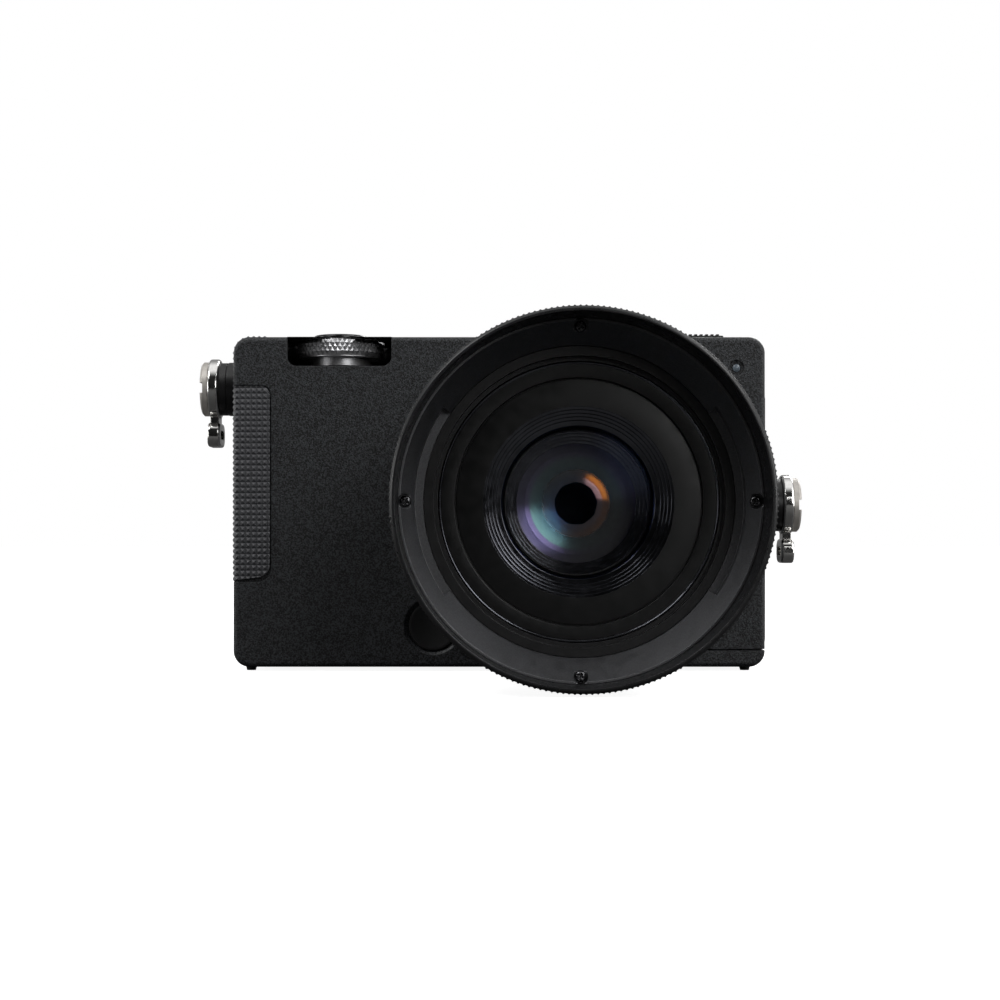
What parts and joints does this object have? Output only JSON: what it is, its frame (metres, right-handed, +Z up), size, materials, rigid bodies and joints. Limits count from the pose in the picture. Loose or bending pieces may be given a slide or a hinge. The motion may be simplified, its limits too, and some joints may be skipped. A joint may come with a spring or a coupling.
{
  "type": "mirrorless camera",
  "caption": "Compact box-shaped mirrorless camera with a short prime lens, a round screwed metal hood, a finned heat sink, side strap eyelets and a fixed rear screen.",
  "frame": {"origin": "centre of the mouth of the tripod thread in the base, straight under the lens axis", "axes": "+Z up through the camera; the lens looks along -Y; +X is on the right of someone facing the lens"},
  "size_m": [0.1293, 0.111, 0.0722],
  "materials": {
    "body_coat": "fine-grained dark grey powder coat",
    "cover_coat": "smooth dark grey satin coat",
    "heat_sink_metal": "black anodised, bead blasted",
    "lens_metal": "black anodised, satin",
    "hood_metal": "black anodised, satin",
    "grip_rubber": "moulded pyramids, matt",
    "cover_rubber": "matt",
    "mount_steel": "turned",
    "screw_steel": "black, satin",
    "bush_metal": "black, satin",
    "strap_nickel": "satin nickel, turned",
    "eyelet_chrome": "polished",
    "button_gloss": "polished black",
    "button_satin": "satin black",
    "control_metal": "black anodised, turned",
    "inner_plastic": "matt black",
    "board_green": "solder mask",
    "battery_case": "matt",
    "foot_rubber": "matt",
    "lens_glass": "coated",
    "screen_glass": "gloss over a dark panel",
    "lamp_lens": "clear, domed",
    "blade_coat": "dull dark coat",
    "sensor_face": "gloss filter glass"
  },
  "bodies": {
    "camera": {"front_cover": "body_coat", "rear_cover": "body_coat", "corner_cover": "cover_coat", "heat_sink": "heat_sink_metal", "grip_rubbers": "grip_rubber", "mount_ring": "mount_steel", "body_screws": "screw_steel", "sensor_unit": "sensor_face", "main_board": "board_green", "battery": "battery_case", "port_block": "inner_plastic", "thread_inserts": "bush_metal", "strap_screws": "strap_nickel", "feet": "foot_rubber", "af_lamp": "lamp_lens", "lcd_glass": "screen_glass", "lens_mount": "mount_steel", "lens_barrel": "lens_metal", "front_barrel": "lens_metal", "front_ring": "inner_plastic", "front_element": "lens_glass", "rear_element": "lens_glass", "iris_plate": "inner_plastic", "hood_tube": "hood_metal", "hood_base": "hood_metal", "hood_screws": "screw_steel"},
    "shutter_button": {"shutter_button": "control_metal"},
    "front_dial": {"front_dial": "control_metal"},
    "rec_button": {"rec_button": "control_metal"},
    "power_switch": {"power_switch": "button_satin"},
    "cine_switch": {"cine_switch": "button_satin"},
    "release_button": {"release_button": "button_satin", "lock_pin": "mount_steel"},
    "battery_door": {"battery_door": "cover_coat"},
    "battery_latch": {"battery_latch": "button_satin"},
    "port_cover_upper": {"port_cover_upper": "cover_rubber"},
    "port_cover_lower": {"port_cover_lower": "cover_rubber"},
    "rear_dial": {"rear_dial": "control_metal"},
    "ok_button": {"ok_button": "button_satin"},
    "ael_button": {"ael_button": "button_satin"},
    "qs_button": {"qs_button": "button_satin"},
    "menu_button": {"menu_button": "button_satin"},
    "play_button": {"play_button": "button_satin"},
    "display_button": {"display_button": "button_satin"},
    "color_button": {"color_button": "button_satin"},
    "mode_button": {"mode_button": "button_satin"},
    "strap_eyelet_left": {"strap_eyelet_left": "eyelet_chrome"},
    "strap_eyelet_right": {"strap_eyelet_right": "eyelet_chrome"},
    "aperture_ring": {"aperture_ring": "lens_metal"},
    "focus_ring": {"focus_ring": "lens_metal"},
    "af_switch": {"af_switch": "button_satin"},
    "iris_blade_1": {"iris_blade_1": "blade_coat"},
    "iris_blade_2": {"iris_blade_2": "blade_coat"},
    "iris_blade_3": {"iris_blade_3": "blade_coat"},
    "iris_blade_4": {"iris_blade_4": "blade_coat"},
    "iris_blade_5": {"iris_blade_5": "blade_coat"},
    "iris_blade_6": {"iris_blade_6": "blade_coat"},
    "iris_blade_7": {"iris_blade_7": "blade_coat"},
    "iris_blade_8": {"iris_blade_8": "blade_coat"},
    "iris_blade_9": {"iris_blade_9": "blade_coat"}
  },
  "joints": [
    {"name": "shutter_press", "type": "slide", "parent": "camera", "child": "shutter_button", "axis": [0, 0, -1], "range_m": [0, 0.0008], "stiffness_N_per_m": 1500},
    {"name": "front_dial_turn", "type": "hinge", "parent": "camera", "child": "front_dial", "pos_m": [-0.0492, -0.0073, 0.067], "axis": [0, 0, 1], "continuous": true},
    {"name": "rec_press", "type": "slide", "parent": "camera", "child": "rec_button", "axis": [0, 0, -1], "range_m": [0, 0.0005], "stiffness_N_per_m": 1200},
    {"name": "power_slide", "type": "slide", "parent": "camera", "child": "power_switch", "axis": [-1, 0, 0], "range_m": [0, 0.0036]},
    {"name": "cine_slide", "type": "slide", "parent": "camera", "child": "cine_switch", "axis": [1, 0, 0], "range_m": [0, 0.0046]},
    {"name": "release_press", "type": "slide", "parent": "camera", "child": "release_button", "axis": [0, 1, 0], "range_m": [0, 0.0016], "stiffness_N_per_m": 800},
    {"name": "battery_door_hinge", "type": "hinge", "parent": "camera", "child": "battery_door", "pos_m": [-0.0348, -0.0063, 0.0008], "axis": [0, -1, 0], "range_deg": [0, 90]},
    {"name": "battery_latch_slide", "type": "slide", "parent": "battery_door", "child": "battery_latch", "axis": [1, 0, 0], "range_m": [0, 0.0022]},
    {"name": "port_cover_upper_fold", "type": "hinge", "parent": "camera", "child": "port_cover_upper", "pos_m": [0.04105, 0.0014, 0.0525], "axis": [0, 0, 1], "range_deg": [0, 95]},
    {"name": "port_cover_lower_fold", "type": "hinge", "parent": "camera", "child": "port_cover_lower", "pos_m": [0.04105, 0.0014, 0.01315], "axis": [0, 0, 1], "range_deg": [0, 95]},
    {"name": "rear_dial_turn", "type": "hinge", "parent": "camera", "child": "rear_dial", "pos_m": [-0.053, 0.0223, 0.035], "axis": [0, 1, 0], "continuous": true},
    {"name": "ok_press", "type": "slide", "parent": "camera", "child": "ok_button", "axis": [0, -1, 0], "range_m": [0, 0.0004], "stiffness_N_per_m": 1000},
    {"name": "ael_press", "type": "slide", "parent": "camera", "child": "ael_button", "axis": [0, -1, 0], "range_m": [0, 0.0004], "stiffness_N_per_m": 1000},
    {"name": "qs_press", "type": "slide", "parent": "camera", "child": "qs_button", "axis": [0, -1, 0], "range_m": [0, 0.0004], "stiffness_N_per_m": 1000},
    {"name": "menu_press", "type": "slide", "parent": "camera", "child": "menu_button", "axis": [0, -1, 0], "range_m": [0, 0.0004], "stiffness_N_per_m": 1000},
    {"name": "play_press", "type": "slide", "parent": "camera", "child": "play_button", "axis": [0, -1, 0], "range_m": [0, 0.0004], "stiffness_N_per_m": 1000},
    {"name": "display_press", "type": "slide", "parent": "camera", "child": "display_button", "axis": [0, -1, 0], "range_m": [0, 0.0004], "stiffness_N_per_m": 1000},
    {"name": "color_press", "type": "slide", "parent": "camera", "child": "color_button", "axis": [0, -1, 0], "range_m": [0, 0.0004], "stiffness_N_per_m": 1000},
    {"name": "mode_press", "type": "slide", "parent": "camera", "child": "mode_button", "axis": [0, -1, 0], "range_m": [0, 0.0004], "stiffness_N_per_m": 1000},
    {"name": "strap_eyelet_left_swing", "type": "hinge", "parent": "camera", "child": "strap_eyelet_left", "pos_m": [-0.0764, -0.0055, 0.0596], "axis": [1, 0, 0], "continuous": true},
    {"name": "strap_eyelet_right_swing", "type": "hinge", "parent": "camera", "child": "strap_eyelet_right", "pos_m": [0.04725, -0.0055, 0.0345], "axis": [1, 0, 0], "continuous": true},
    {"name": "aperture_ring_turn", "type": "hinge", "parent": "camera", "child": "aperture_ring", "pos_m": [0, -0.0372, 0.034], "axis": [0, -1, 0], "range_deg": [-64, 36]},
    {"name": "focus_ring_turn", "type": "hinge", "parent": "camera", "child": "focus_ring", "pos_m": [0, -0.0522, 0.034], "axis": [0, -1, 0], "continuous": true},
    {"name": "af_switch_slide", "type": "slide", "parent": "camera", "child": "af_switch", "axis": [0, 1, 0], "range_m": [0, 0.0031]},
    {"name": "iris_blade_1_turn", "type": "hinge", "parent": "camera", "child": "iris_blade_1", "pos_m": [0.01684, -0.0508, 0.03697], "axis": [0, -1, 0], "range_deg": [-16, 9]},
    {"name": "iris_blade_2_turn", "type": "hinge", "parent": "camera", "child": "iris_blade_2", "pos_m": [0.01099, -0.0508, 0.0471], "axis": [0, -1, 0], "range_deg": [-16, 9]},
    {"name": "iris_blade_3_turn", "type": "hinge", "parent": "camera", "child": "iris_blade_3", "pos_m": [0, -0.0508, 0.0511], "axis": [0, -1, 0], "range_deg": [-16, 9]},
    {"name": "iris_blade_4_turn", "type": "hinge", "parent": "camera", "child": "iris_blade_4", "pos_m": [-0.01099, -0.0508, 0.0471], "axis": [0, -1, 0], "range_deg": [-16, 9]},
    {"name": "iris_blade_5_turn", "type": "hinge", "parent": "camera", "child": "iris_blade_5", "pos_m": [-0.01684, -0.0508, 0.03697], "axis": [0, -1, 0], "range_deg": [-16, 9]},
    {"name": "iris_blade_6_turn", "type": "hinge", "parent": "camera", "child": "iris_blade_6", "pos_m": [-0.01481, -0.0508, 0.02545], "axis": [0, -1, 0], "range_deg": [-16, 9]},
    {"name": "iris_blade_7_turn", "type": "hinge", "parent": "camera", "child": "iris_blade_7", "pos_m": [-0.00585, -0.0508, 0.01793], "axis": [0, -1, 0], "range_deg": [-16, 9]},
    {"name": "iris_blade_8_turn", "type": "hinge", "parent": "camera", "child": "iris_blade_8", "pos_m": [0.00585, -0.0508, 0.01793], "axis": [0, -1, 0], "range_deg": [-16, 9]},
    {"name": "iris_blade_9_turn", "type": "hinge", "parent": "camera", "child": "iris_blade_9", "pos_m": [0.01481, -0.0508, 0.02545], "axis": [0, -1, 0], "range_deg": [-16, 9]}
  ],
  "couplings": [
    {"joint": "iris_blade_1_turn", "follows": "aperture_ring_turn", "ratio": 0.25},
    {"joint": "iris_blade_2_turn", "follows": "aperture_ring_turn", "ratio": 0.25},
    {"joint": "iris_blade_3_turn", "follows": "aperture_ring_turn", "ratio": 0.25},
    {"joint": "iris_blade_4_turn", "follows": "aperture_ring_turn", "ratio": 0.25},
    {"joint": "iris_blade_5_turn", "follows": "aperture_ring_turn", "ratio": 0.25},
    {"joint": "iris_blade_6_turn", "follows": "aperture_ring_turn", "ratio": 0.25},
    {"joint": "iris_blade_7_turn", "follows": "aperture_ring_turn", "ratio": 0.25},
    {"joint": "iris_blade_8_turn", "follows": "aperture_ring_turn", "ratio": 0.25},
    {"joint": "iris_blade_9_turn", "follows": "aperture_ring_turn", "ratio": 0.25}
  ]
}
